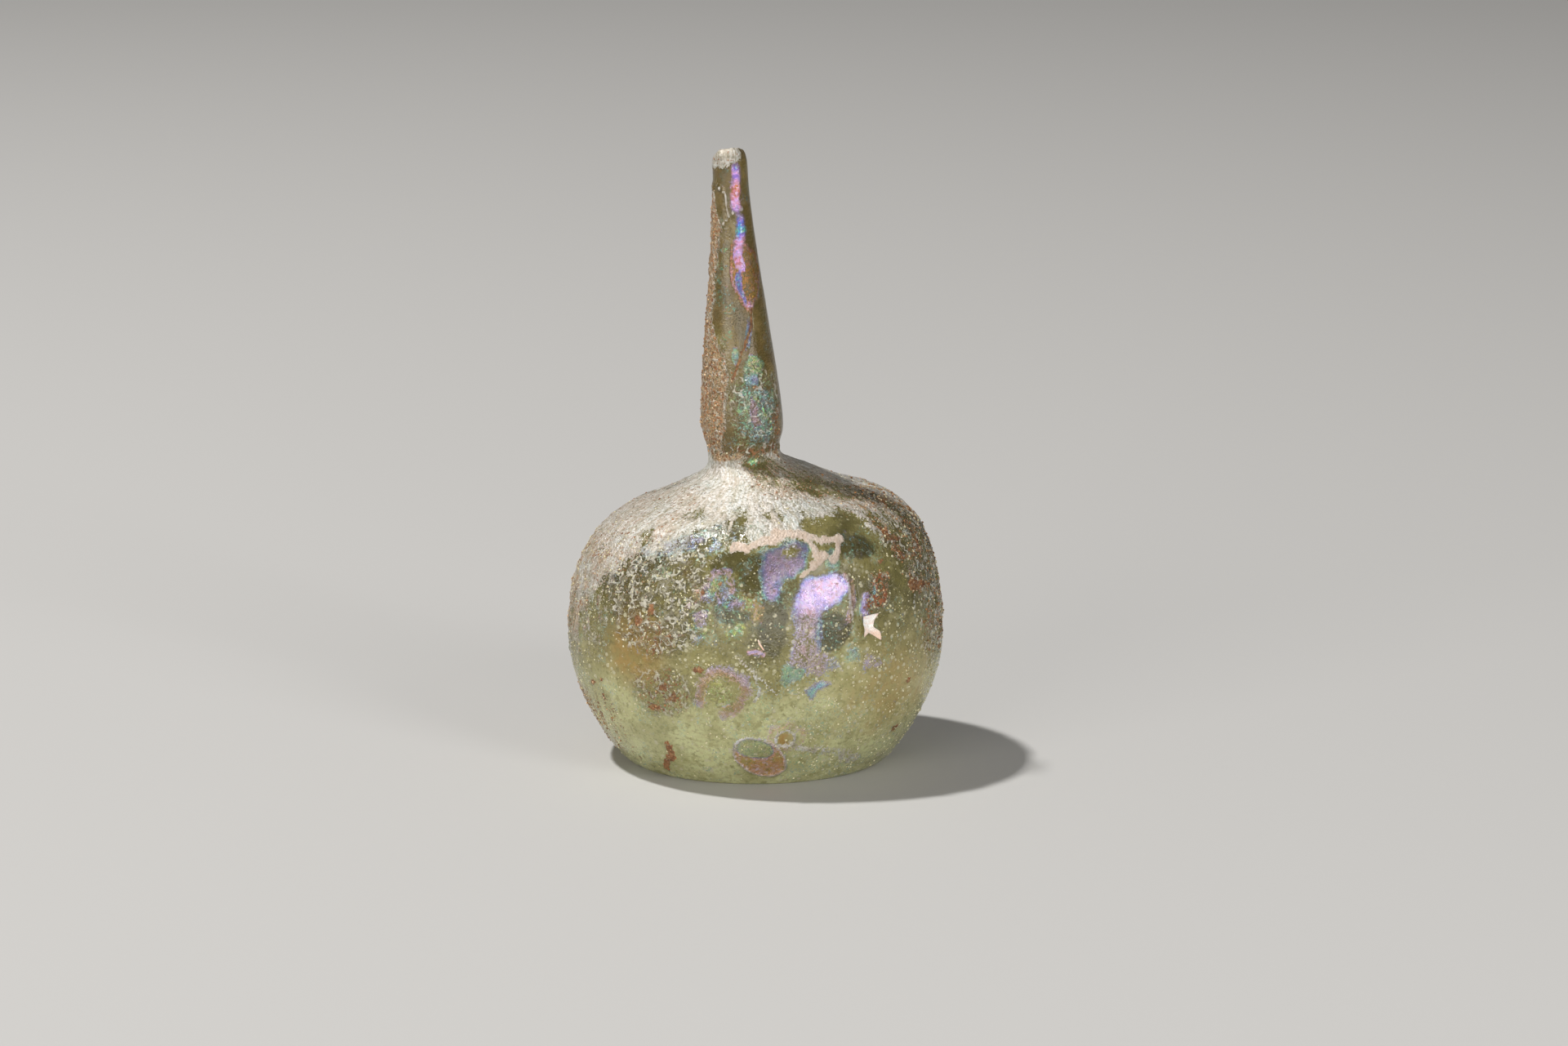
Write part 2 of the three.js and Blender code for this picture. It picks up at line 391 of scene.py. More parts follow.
crust = np.max([
    crust,
    left_side * (0.74 + 1.2 * drips + 0.5 * ragged + fringe),
    right_side * (0.08 + 1.3 * drips + 0.8 * fringe),
    0.58 * neck_crust,
    0.98 * lip_crust,
    0.84 * ribbon_cover], axis=0)
crust *= 1 - 0.8 * root_film
back = ease(88, 125, np.abs(degrees))
back_crust = 0.62 * back * ease(0.46, 0.66, clouds(smooth, 18, 41)) * ease(8, 20, up)
lime = in_band(LIME_STREAK, 1.3, 0.9)
flake_oval = in_oval(1.5, 8.8, 7.1, 4.8, 0.3, 35)
pale_rims = np.max([
    *(in_band(*rim) for rim in PALE_RIMS),
    0.42 - np.abs(in_oval(11, 14, 2.3, 2.3, 0.2)),
    0.3 - np.abs(flake_oval - 0.1)], axis=0)
crust = np.max([
    crust,
    back_crust * on_belly,
    0.5 * ease(-1, 0.8, lime),
    0.8 * ease(-0.2, 0.2, pale_rims)], axis=0)
crust = np.clip(crust, 0, 1) * outside
crust[outer_rows - 1] = BORE_CRUST_COVER

# Brown soil: in the pits of the left front, down the right edge, along the crack and round the neck's root,
# with a thin dust of it that warms the crust of the lip and of the shoulder's left side. The same warm tint
# round the neck's shadow band on the right of the shoulder is painted shade that browns the crust there
SOIL_OVALS = ((-36, 38.5, 6, 4.5, 1.4, 0.34, -3, 2), (-33, 25, 7, 6, 1.4, 0.34, -4, 2))
SPOT_WANDER_AND_EDGE = (0.6, 0.9, -0.15, 0.4)
SOIL_SPOTS = ((-38, 44.9, 1, 1.8), (-43, 42.2, 1.4, 1.2), (-37, 21, 1.7, 1.2), (-33, 26.4, 1.6, 1.1),
              (-29, 23.6, 1.3, 1), (-65, 23.7, 1.2, 0.9), (-59, 25.5, 0.7, 0.8), (-60, 20.2, 0.7, 1.3),
              (-60, 14, 0.7, 1.1), (-67, 14.4, 0.7, 1.2), (58, 25, 1.2, 0.8), (60, 12.5, 1.3, 0.8),
              (-20, 32, 2, 0.9), (-13, 52.6, 0.9, 0.6), (-19, 50.2, 0.8, 0.8), (50, 55, 1.2, 0.8))
SOIL_BLOB = [(-36, 10.8), (-35.5, 8.3), (-40, 5.4), (-42, 3.2)]
BROWN_PIT = [(59, 49), (64, 50.1), (72, 46.9), (62, 46.1)]
BROWN_SCALE = [(57, 62.8), (61, 61.8), (60, 59.8), (56, 60.3)]
RUSTY_PATCH = [(45, 53.2), (53, 52), (49, 46), (43.5, 43.6), (40.5, 44.4), (42, 48.4)]
ROOT_SOIL = [(-59, 77.2), (-40, 77), (-21, 77.8), (5, 78.9), (29, 78.8), (52, 80), (63, 77)]
NECK_BEADS = [(2, 94.7), (24, 94.4), (54, 94.4)]
SWELL_SOIL = [(59, 88), (54, 85.5), (67, 82.4)]
CRACK = [(30, 113.3), (25, 109.1), (13, 105.5), (3, 102.4), (-5, 99.3), (-12, 96.4)]
brown_pit = np.maximum(in_shape(BROWN_PIT, 0.3), in_shape(BROWN_SCALE, 0.2))
rusty = ease(-1.2, 0.8, in_shape(RUSTY_PATCH, 1.6))
left_shoulder = ease(-24, -46, degrees + 20 * ragged) * ease(-145, -105, degrees)
left_shoulder *= ease(40, 50, up) * ease(75, 68, up)
root_soil = in_band(ROOT_SOIL, 1.9, 0.8)
crack = in_band(CRACK, 0.34, 0.2)
heel_soil = ease(-50, -62, degrees + 20 * ragged) * ease(-140, -100, degrees + 30 * ragged)
heel_soil *= ease(2, 5, up) * ease(26, 16, up)
neck_beads = in_band(NECK_BEADS, 0.4, 0.1)
soil = np.max([
    ovals(SOIL_OVALS),
    ovals([spot + SPOT_WANDER_AND_EDGE for spot in SOIL_SPOTS]),
    0.9 * ease(-0.1, 0.4, in_band(SOIL_BLOB, 1.15, 0.8)),
    0.9 * ease(-0.1, 0.3, brown_pit),
    rusty * (0.5 + 0.8 * fringe),
    right_side * (0.24 - 0.7 * drips + 1.6 * fringe),
    0.4 * neck_crust,
    0.26 * lip_crust,
    0.33 * np.maximum(left_side, 0.75 * left_shoulder),
    # painted shade: a warm tint round the neck's cast shadow browns the crust there
    0.28 * ease(-7, 0, painted_shadow_band) * on_belly,
    0.42 * ease(-1, 1.4, root_soil),
    0.5 * ease(-1.5, 0.6, in_band(SWELL_SOIL, 1.4, 0.8)),
    0.85 * ease(-0.2, 0.2, crack),
    heel_soil * (0.36 + 1.5 * drips),
    back * ease(0.58, 0.72, clouds(smooth, 9, 51)) * 0.5,
    0.62 * ease(-0.3, 0.1, neck_beads) * ease(0.35, 0.6, grain)], axis=0)
soil = np.clip(soil, 0, 1) * outside

# Coloured film: each flake of it runs through the colours from its edge to its middle. A patch is an
# outline, its wander, strength, hues of edge and middle, the mm between them and the mm over which its
# edge dies away. A round starts with its place and half sizes, a band with its line and half width
film = np.zeros_like(up)
hue = np.zeros_like(up)


def lay_film(depth, strength, edge_hue, middle_hue, fade=1.5, soft=0.2):
    """Adds a flake of film: it covers where depth is above 0, dying away over soft mm on either side,
    and its hue runs from the edge to the middle over fade mm."""
    global film, hue
    cover = strength * ease(-soft, soft, depth)
    tone = edge_hue + (middle_hue - edge_hue) * ease(0, fade, depth)
    hue = np.where(cover > film, tone, hue)
    film = np.maximum(film, cover)


MOTTLED = [(-26, 46), (-20, 52), (-13, 56), (-6, 53), (0, 49), (2, 43), (-6, 40), (-20, 38)]
MAUVE_LOBE = [(2, 59.6), (6, 61.6), (14, 62.3), (20, 61.6), (22, 59.6), (20, 56.5), (15, 53.7), (11, 52.7),
              (8, 48.9), (5, 48.9), (2, 51.2), (1, 55.5)]
VIOLET_LOBE = [(15, 50.4), (18, 53.1), (22, 54.9), (32, 54.5), (35, 51.7), (32, 48.2), (23, 45.5), (22, 42),
               (22, 36.8), (17, 33), (9, 29.3), (12, 36.7), (12, 46)]
PATCHES = (
    ([(44, 53.5), (52, 53), (51, 47), (45, 45.2)], 1, 0.34, 0.1, 0.17, 1.5, 0.8),
    ([(16.5, 26), (22.5, 29.2), (25.5, 28.6), (20.5, 24.8)], 1, 0.8, 0.56, 0.74, 0.9, 0.7),
    ([(12, 36), (24, 36.5), (28, 31.5), (17, 29)], 1.8, 0.5, 0.6, 0.48, 1.5, 1.8),
    ([(-5, 51.8), (-2, 50.6), (-1, 47.6), (-4, 47)], 1.2, 0.55, 0.84, 0.94, 0.8, 0.5),
    ([(-1, 48.6), (3, 48), (2, 44), (-2, 44.6)], 1.2, 0.5, 0.14, 0.08, 1, 0.5),
    ([(-22, 46), (-17, 46.5), (-17, 42.5), (-21, 42)], 1.2, 0.5, 0.46, 0.34, 1, 0.8),
    ([(6, 99.4), (18, 102.6), (33, 102.6), (44, 99.4), (33, 97), (16, 97.6)],
     0.4, 0.66, 0.86, 0.98, 1, 0.5),
    ([(4, 98.1), (26, 97.8), (29, 95), (9, 95)], 0.5, 0.7, 0.84, 0.74, 0.8, 0.4),
    ([(11, 93.4), (25, 92), (30, 85.6), (12, 85)], 0.9, 0.5, 0.46, 0.36, 1.2, 1),
    ([(3, 76.3), (17, 77.6), (28, 76.6), (12, 75)], 0.7, 0.8, 0.82, 0.93, 0.6, 0.3))
ROUNDS = (
    (24, 88, 6.5, 9, 1.6, 0.46, 0.86, 0.8, 2, 3.5),
    (35, 34.8, 2, 1.7, 1.8, 0.6, 0.66, 0.74, 1, 1.2),
    (41, 32.8, 2.6, 2.2, 1.6, 0.42, 0.6, 0.5, 1, 1.5),
    (26.5, 32.6, 2.6, 1.8, 1.4, 0.52, 0.56, 0.62, 1, 1.2),
    (13, 30.2, 2.7, 3, 1.8, 0.62, 0.7, 0.82, 1, 1),
    (30, 57.2, 1.9, 2.4, 0.6, 0.6, 0.8, 0.72, 1.5, 0.4))
BANDS = (
    ([(21.5, 45), (22, 40.5), (21, 37)], 0.8, 0.8, 0.6, 0.62, 0.74, 0.8),
    ([(-2.4, 36.4), (-1.3, 36.6), (0.1, 36.7), (1.4, 36.4), (2.6, 35.9)], 0.65, 0.1, 0.8, 0.22, 0.6, 0.6),
    ([(34, 53.6), (36, 51.5), (35.4, 47), (33, 42.6)], 0.8, 0.4, 0.6, 0.36, 0.2, 0.6),
    ([(41, 48), (39.4, 44.8), (40, 42.6)], 1, 0.5, 0.85, 0.62, 0.5, 0.7),
    ([(45, 50), (43.6, 47.5), (42, 45.3)], 0.5, 0.4, 0.8, 0.88, 0.84, 0.5),
    ([(24, 111), (19, 107), (14, 104.6)], 0.75, 0.3, 0.5, 0.74, 0.68, 0.7),
    ([(-5, 103.4), (-6, 101.4)], 0.9, 0.3, 0.6, 0.8, 0.74, 0.6))
mottle = clouds(smooth, 4.5, 61, 3)
lay_film(in_shape(MOTTLED, 1.8), 0.46, 0.3, 0.42, 1.5, 2.5)
film *= ease(0.36, 0.56, mottle)
hue = np.where(film > 0, np.clip(2.6 * (clouds(smooth, 5, 67, 3) - 0.31), 0.1, 0.95), hue)
lay_film(in_shape(MAUVE_LOBE, 1.2), 0.74, 0.74, 0.44, 2.4, 0.8)
film *= 1 - 0.85 * ease(0.2, 1.6, in_oval(14, 59.5, 4, 2, 0.8))
lay_film(in_shape(VIOLET_LOBE, 1.2), 1, 0.6, 0.41, 2.6, 0.8)
film *= 1 - 0.9 * ease(0, 0.7, in_oval(12, 51.4, 1.7, 2.1, 0.4))
film *= 1 - 0.54 * ease(49, 42, up) * ease(5, 10, degrees) * ease(28, 22, degrees)
lay_film(1 - np.abs(in_oval(-13, 52.6, 3, 2.8, 0.7)), 0.46, 0.44, 0.28, 0.9, 0.6)
for at, height, wide, tall, wander, *flake in ROUNDS:
    lay_film(in_oval(at, height, wide, tall, wander), *flake)
for corners, wander, *flake in PATCHES:
    lay_film(in_shape(corners, wander), *flake)
for line, half, wander, *flake in BANDS:
    lay_film(in_band(line, half, wander), *flake)

# The horseshoe, with a lilac edge, a peach band within it and a yellow-green middle, open at the foot, and
# the oval flake under it, tawny along its lower side
HORSESHOE = [(-20, 24), (-19.5, 26.5), (-18, 29.3), (-14, 31.5), (-9, 31.8), (-4.5, 29.7), (-4, 26.3),
             (-7, 23.1), (-12, 20.7)]
lay_film(in_oval(-12, 25.6, 3.8, 3.8, 0.8), 0.34, 0.97, 0.97, 1, 1.2)
arch_tone = np.interp(in_oval(-12, 26.2, 7.8, 7, 0.6), (0.3, 1.4, 2.8), (0.52, 0.3, 0.14))
lay_film(in_band(HORSESHOE, 1.5, 0.6), 0.64, arch_tone, arch_tone, 1, 1.2)
tawny = np.minimum(flake_oval, -in_oval(-1.5, 11.6, 5.4, 3, 0.3, 20))
lay_film(flake_oval, 0.5, 0.34, 0.9, 1, 0.3)
lay_film(tawny, 0.95, 0.22, 0.08, 0.8, 0.25)
lay_film(1.2 - np.abs(in_oval(11.5, 14.2, 4.2, 4, 0.8) - 0.4), 0.4, 0.4, 0.24, 1, 0.8)
# Partly a painted highlight: pale bluish film along the bright line at the crust's lower edge on the left
glints = in_band([(-46, 57.8), (-30, 60.4), (-12, 62)], 2.2, 1.2)
lay_film(glints * ease(0.46, 0.54, mottle), 0.42, 0.76, 0.64, 1, 0.6)

# The film on the neck: a bright strip that changes colour on its way up, which is film and partly a
# painted reflection laid where a lamp's highlight runs up the neck, and a long tear below it
SHEEN_STRIP = [(18, 147.9), (19, 146.3), (15, 144.6), (16, 142.1), (16, 138.1)]
LOW_SHEEN_STRIP = [(25, 135.4), (23, 132.4), (17, 129.9), (11, 127)]
SHEEN_STRIP_HUES = ((126, 0.5), (128, 0.36), (130, 0.32), (132, 0.8), (133.5, 0.64), (136, 0.5), (138, 0.46),
              (140, 0.34), (142.5, 0.3), (144.6, 0.64), (146.3, 0.32), (148.5, 0.57))
TEAR = [(-3, 128.8), (-9, 125.1), (-6, 120.8), (3, 117.7), (14, 114.9), (29, 112.8), (47, 117.1), (69, 122.4),
        (60, 126.5), (30, 129)]
# Partly a painted reflection: film laid along the line where a lamp's highlight runs up the neck
film_and_sheen_strip = np.maximum(in_band(SHEEN_STRIP, 1.25, 0.45), in_band(LOW_SHEEN_STRIP, 1.1, 0.5))
lay_film(film_and_sheen_strip, 0.88, 0.3, 0.45, 0.5, 0.6)
hue = np.where(film_and_sheen_strip > -0.6, np.interp(up + 4 * fringe, *np.array(SHEEN_STRIP_HUES).T), hue)
tear = in_shape(TEAR, 0.35)
lay_film(tear, 0.48, 0.18, 0.1, 0.8)
lay_film(0.4 - np.abs(tear), 0.6, 0.24, 0.22, 0.4)
blue_in_tear = in_band([(8, 121.5), (7, 118.6), (13, 116.6), (16, 115.4)], 0.9, 0.2)
lay_film(np.minimum(tear - 0.3, blue_in_tear), 0.7, 0.5, 0.6, 0.5)
pink_in_tear = in_band([(1, 128), (8, 126), (14, 124)], 1.3, 0.3)
lay_film(np.minimum(tear - 0.3, pink_in_tear), 0.85, 0.46, 0.34, 0.7)
lay_film(np.minimum(tear - 0.2, in_oval(27, 114, 1.2, 1.3, 0.2)), 0.8, 0.3, 0.36, 0.6)
squiggles = np.maximum(
    in_band([(16, 92.4), (22, 92), (27, 90.6)], 0.3, 0.15),
    in_band([(31, 89.8), (34, 88), (40, 86.6), (49, 85), (41, 83.8)], 0.34, 0.3))
lay_film(squiggles, 0.9, 0.92, 0.98, 0.3)
film = np.maximum(film, back * 0.55 * ease(0.54, 0.6, clouds(smooth, 13, 61)) * ease(10, 24, up))
hue = np.where(back > 0.5, np.clip(0.25 + 1.6 * (clouds(smooth, 10, 71) - 0.35), 0.1, 0.95), hue)
film = np.clip(film, 0, 1) * outside
hue = np.clip(hue + 0.26 * fringe + 0.2 * ragged, 0, 1)

# Pits and blisters of the left front and the neck, amber staining, and how milky or clear the glass is;
# its paleness towards the foot is partly a painted glow of light through it
CLEAR_WINDOWS = ((-10, 57.2, 4.5, 2.6), (1, 54, 3.2, 4.5), (6, 44, 3, 8), (27, 40.5, 4.5, 4.5),
                 (-9, 46, 4, 3), (42, 59, 4.5, 2.6), (-44, 55.5, 4.5, 2.4))
PIT_OVALS = ((-38, 48, 13, 12, 1.6, 1, -5, 2), (-33, 25, 8, 6, 1.4, 0.5, -4, 1),
             (25, 90, 6.5, 8.5, 0.8, 0.7, -3, 1))
STAIN_OVALS = ((-45, 35, 7, 8, 1.6, 0.75, -5, 3), (53, 23, 12, 9, 1.6, 0.5, -8, 4),
               (11, 14, 1.9, 1.9, 0.1, 0.95, -0.2, 0.3), (-3, 48.6, 2.6, 2.2, 0.8, 0.5, -1, 1))
PITS_EVERYWHERE = 0.1
pits = np.max([
    ovals(PIT_OVALS),
    0.9 * neck_crust,
    0.7 * ease(-1.5, 1, root_soil),
    0.8 * right_side,
    0.6 * left_side,
    0.7 * rusty,
    np.full_like(up, PITS_EVERYWHERE)], axis=0) * outside
stain = np.clip(np.maximum(ovals(STAIN_OVALS), 0.3 * (1 - on_belly)), 0, 1) * outside
milky = up + 24 * (clouds(smooth, 22, 89, 3) - 0.5) + 14 * ragged
# Partly painted glow: the glass is painted paler and milkier towards the foot, where light shines through it
haze_and_glow = 0.26 + 0.75 * ease(48, 8, milky) + 0.8 * ragged
# A paler oval at the lower left: milky haze, and partly a painted glare
haze_and_glow += 0.35 * ease(-5, 3, in_oval(-20, 13, 12, 8, 1.2))
for window in CLEAR_WINDOWS:
    haze_and_glow -= 0.5 * ease(-0.8, 0.6, in_oval(*window, 0.9))
haze_and_glow -= 0.2 * (1 - on_belly)
haze_and_glow = np.clip(haze_and_glow, 0, 1)
specks = 0.5 + 1.4 * (clouds(smooth, 12, 83) - 0.5)
specks += 0.6 * ease(0, 30, degrees) * ease(50, 30, up) + 0.5 * ease(-3, 1, lime) + 0.4 * pits
specks = np.clip(specks, 0, 1) * on_belly * outside


def blister_rims(place, size, seed):
    """Rims of burst blisters: 1 on a circle round each of many scattered points, one to each cell of
    size mm, and 0 away from it."""
    q = place / size + 1000
    base = np.floor(q).astype(np.int64)
    nearest = np.full(place.shape[:-1], 9)
    for cell in np.ndindex(3, 3, 3):
        x, y, z = np.moveaxis(base + np.array(cell) - 1, -1, 0)
        middle = np.stack([x + lattice(x, y, z, seed), y + lattice(x, y, z, seed + 1),
                           z + lattice(x, y, z, seed + 2)], axis=-1)
        nearest = np.minimum(nearest, np.linalg.norm(q - middle, axis=-1))
    return 1 - ease(0.05, 0.2, np.abs(nearest - 0.36))


# The relief that goes with it: crust, film and blisters stand proud, pits and the crack sink
ridges = pits * np.maximum(worms(smooth, 3.4, 91) * (0.4 + 0.6 * grain), blister_rims(smooth, 2.8, 97))
hollows = pits * ease(0.6, 0.74, lumps(smooth, 2, 13))
relief = (
    0.3 * (clouds(smooth, 26, 7, 2) - 0.5)
    + 0.26 * ease(0.3, 0.62, crust + 0.9 * (grain - 0.5)) * (0.4 + grain) * (1 - 0.6 * ribbon_cover)
    + 0.16 * ribbon_cover
    + (0.4 * ridges - 0.34 * hollows) * (0.45 + 0.55 * on_belly)
    + 0.36 * soil * (grain - 0.25) * (0.45 + 0.55 * on_belly)
    + 0.08 * ease(0.1, 0.5, film)
    + 0.16 * ease(-0.1, 0.3, pale_rims)
    + 0.3 * ease(0, 1.2, in_oval(11, 14, 1.8, 1.8, 0.1))
    + 0.22 * ease(-0.2, 0.25, squiggles)
    + 0.14 * ease(0.5, 0.1, np.abs(tear))
    - 0.14 * ease(-0.3, 0.2, crack)
    - 0.3 * ease(-0.3, 0.2, neck_beads) * (0.5 + grain)
    - 0.45 * ease(0, 0.8, brown_pit)
    + 1.3 * ease(85, 15, np.abs(degrees + 8)) * ease(149, 150.9, ring_z))
relief *= outside * ease(0, 3, up)
place = (smooth + outward * relief[..., None]) * MM


def loose_mesh(name, points, corners, sizes):
    """A smooth-shaded mesh from points, the corner numbers of all faces in a row, and the faces' sizes."""
    mesh = bpy.data.meshes.new(name)
    mesh.vertices.add(len(points))
    mesh.vertices.foreach_set("co", points.ravel())
    mesh.loops.add(len(corners))
    mesh.loops.foreach_set("vertex_index", corners)
    mesh.polygons.add(len(sizes))
    mesh.polygons.foreach_set("loop_start", np.concatenate([[0], np.cumsum(sizes)[:-1]]))
    mesh.polygons.foreach_set("use_smooth", np.ones(len(sizes), bool))
    mesh.update()
    mesh.validate()
    return mesh


def closed_grid(name, grid, first_pole, last_pole):
    """A mesh of quads on a grid that closes round its columns, with a fan of triangles at each pole."""
    rows, columns = grid.shape[:2]
    points = np.vstack([grid.reshape(-1, 3), [first_pole], [last_pole]])
    index = np.arange(rows * columns).reshape(rows, columns)
    beside = np.roll(index, -1, axis=1)
    quads = np.stack([index[:-1], beside[:-1], beside[1:], index[1:]], axis=-1).reshape(-1, 4)
    first = np.stack([np.full(columns, rows * columns), beside[0], index[0]], axis=-1)
    last = np.stack([np.full(columns, rows * columns + 1), index[-1], beside[-1]], axis=-1)
    corners = np.concatenate([quads.ravel(), first.ravel(), last.ravel()])
    sizes = np.concatenate([np.full(len(quads), 4), np.full(2 * columns, 3)])
    return loose_mesh(name, points, corners, sizes)


def with_poles(fields):
    """Fields of the grid as one list by point. The poles take the nearest ring's mean."""
    width = fields.shape[-1]
    return np.vstack([fields.reshape(-1, width), fields[0].mean(axis=0), fields[-1].mean(axis=0)])


def paint(mesh, name, fields):
    """Stores four fields by point as one colour attribute."""
    layer = mesh.color_attributes.new(name, "FLOAT_COLOR", "POINT")
    layer.data.foreach_set("color", fields.astype(np.float32).ravel())


poles = [uneven_place(0, 0, z) * MM for z in outline[[0, -1], 1]]
glass_mesh = closed_grid("weathered_glass", place, *poles)
for layer, fields in (("Burial", (crust, soil, film, hue)), ("Surface", (pits, stain, haze_and_glow, specks)),
                      ("Relief", (ridges, hollows, rusty, ribbon_cover))):
    paint(glass_mesh, layer, with_poles(np.stack(fields, axis=-1)))
slope_layer = glass_mesh.attributes.new("Slope", "FLOAT_VECTOR", "POINT")
slope_layer.data.foreach_set("vector", with_poles(slope_place).astype(np.float32).ravel())
glass = bpy.data.objects.new("weathered_glass", glass_mesh)
pieces.link(glass)


def shade(colour):
    """A colour given in 0 to 255 display values, as linear light. A node's colour stays as it is."""
    if isinstance(colour, bpy.types.NodeSocket):
        return colour
    c = np.array(colour) / 255
    c = np.where(c <= 0.04045, c / 12.92, ((c + 0.055) / 1.055) ** 2.4)
    return (*c.tolist(), 1)


def new_material(name):
    """A material of its own, which the node functions then build, and its shader."""
    global tree
    made = bpy.data.materials.new(name)
    made.use_nodes = True
    tree = made.node_tree
    return made, tree.nodes["Principled BSDF"]


def node(kind, inputs, out=0, **settings):
    """A shader node with its settings, its inputs joined or set, and one of its outputs."""
    made = tree.nodes.new("ShaderNode" + kind)
    for key, value in settings.items():
        setattr(made, key, value)
    for key, value in inputs.items():
        if isinstance(value, bpy.types.NodeSocket):
            tree.links.new(value, made.inputs[key])
        else:
            made.inputs[key].default_value = value
    return made.outputs[out]


def sums(operation, a, b, c=0):
    """One arithmetic step on two or three values."""
    return node("Math", {0: a, 1: b, 2: c}, operation=operation)


def between(value, low, high, start=0, end=1):
    """start where value is at low, end where it is at high, with a smooth step between."""
    return node("MapRange", {"Value": value, "From Min": low, "From Max": high, "To Min": start,
                             "To Max": end}, interpolation_type="SMOOTHSTEP")


def times(a, b):
    """The product of two values."""
    return sums("MULTIPLY", a, b)


def plus(a, b):
    """The sum of two values."""
    return sums("ADD", a, b)


def layered(colour, *layers):
    """A colour with others laid over it in turn. A layer is the share that it covers and its colour."""
    for share, tint in layers:
        colour = node("Mix", {0: share, 6: shade(colour), 7: shade(tint)}, 2, data_type="RGBA")
    return colour


def wire(shader, **sockets):
    """Joins values to a shader's sockets, which are named with _ for a space."""
    for socket, value in sockets.items():
        tree.links.new(value, shader.inputs[socket.replace("_", " ")])


def bumps(height, strength, depth):
    """The directions of a surface with bumps of a height, depth mm from lowest to highest."""
    return node("Bump", {"Height": height, "Strength": strength, "Distance": depth * MM}, "Normal")


def noise(vector, cell, detail=4, rough=0.6):
    """Cloud noise with cells of a size, in the units of its vector."""
    inputs = {"Vector": vector, "Scale": 1 / cell, "Detail": detail, "Roughness": rough}
    return node("TexNoise", inputs, "Fac")


def cells(vector, cell):
    """Scattered cells of a size: the distance to each one's seed and a number from 0 to 1 by cell."""
    made = node("TexVoronoi", {"Vector": vector, "Scale": 1 / cell}).node
    return made.outputs["Distance"], node("SeparateColor", {0: made.outputs["Color"]})


def channels(name):
    """The four channels of a colour attribute."""
    stored = node("Attribute", {}, attribute_name=name).node
    parts = node("SeparateColor", {0: stored.outputs["Color"]}).node
    return (*parts.outputs, stored.outputs["Alpha"])


GLASS_IOR, CLOUDED, INSIDE_ROUGHNESS = 1.5, 0.52, 0.12
RICH_FROM, RICH_FULL = 98 * MM, 112 * MM
weathered, shader = new_material("weathered_glass")
where = node("TexCoord", {}, "Object")
slope = node("Attribute", {}, "Vector", attribute_name="Slope")
crust_v, soil_v, film_v, hue_v = channels("Burial")
pits_v, stain_v, haze_and_glow_v, specks_v = channels("Surface")
ridge_v, hollow_v, rusty_v, ribbon_v = channels("Relief")
fine = noise(where, 0.45 * MM, 4, 0.62)
grit = noise(where, 0.9 * MM, 3, 0.6)
mid = noise(where, 2.4 * MM, 4, 0.6)
broad = noise(where, 9 * MM, 4, 0.55)
streak = noise(slope, 1, 4, 0.65)
granule, granule_tone = cells(where, 0.55 * MM)
speck, speck_tone = cells(where, 1.5 * MM)
crater = cells(where, 1.7 * MM)[0]
wriggle = sums("ABSOLUTE", sums("SUBTRACT", noise(where, 2.2 * MM, 1.5, 0.5), 0.5), 0)
height_up = node("SeparateXYZ", {0: where}, 2)


def centred(value, weight):
    """A noise value about 0, times a weight."""
    return sums("MULTIPLY_ADD", value, weight, -0.5 * weight)


def frayed(field, fray, low, high, start, full):
    """A mask whose edge is frayed by noise: 0 to 1 where field plus fray goes from low to high, and none
    where the field alone is under start, all of it over full."""
    return times(between(plus(field, fray), low, high), between(field, start, full))


crust_n = plus(centred(streak, 1), plus(centred(fine, 0.9), centred(grit, 1)))
crust_m = frayed(crust_v, crust_n, 0.34, 0.58, 0.02, 0.2)
soil_n = plus(centred(grit, 1.8), centred(fine, 1))
soil_m = frayed(soil_v, soil_n, 0.44, 0.62, 0.05, 0.25)
film_n = plus(centred(fine, 1.2), plus(centred(grit, 1.1), centred(mid, 0.6)))
film_m = frayed(film_v, film_n, 0.22, 0.56, 0, 0.12)
film_m = times(film_m, between(film_v, 0, 1, 0.45, 1))
speck_m = between(sums("SUBTRACT", speck, times(speck_tone, 0.3)), 0.02, 0.1, 1, 0)
speck_m = times(speck_m, between(plus(specks_v, centred(mid, 1.5)), 0.35, 0.65))
blistered = times(between(pits_v, 0.25, 0.7), between(mid, 0.44, 0.52))
wriggle_m = times(between(wriggle, 0.028, 0.06, 1, 0), blistered)
# Painted shade: a dark band along each side of the wriggles, where their ridges would shade the glass
painted_groove_shade = times(between(wriggle, 0.2, 0.07), blistered)
# Painted highlight: the blister ridges and wriggles are painted pale, as if catching the light
painted_ridge_highlight = sums("MAXIMUM", between(ridge_v, 0.45, 0.95, 0, 0.25), wriggle_m)
hollow_m = times(between(hollow_v, 0.3, 0.7), between(grit, 0.4, 0.6))

clouding = between(haze_and_glow_v, 0, 0.45, 0.15, 0.5)
specking = times(between(grit, 0.5, 0.34, 0, 0.55), between(haze_and_glow_v, 0.5, 1, 1, 0.6))
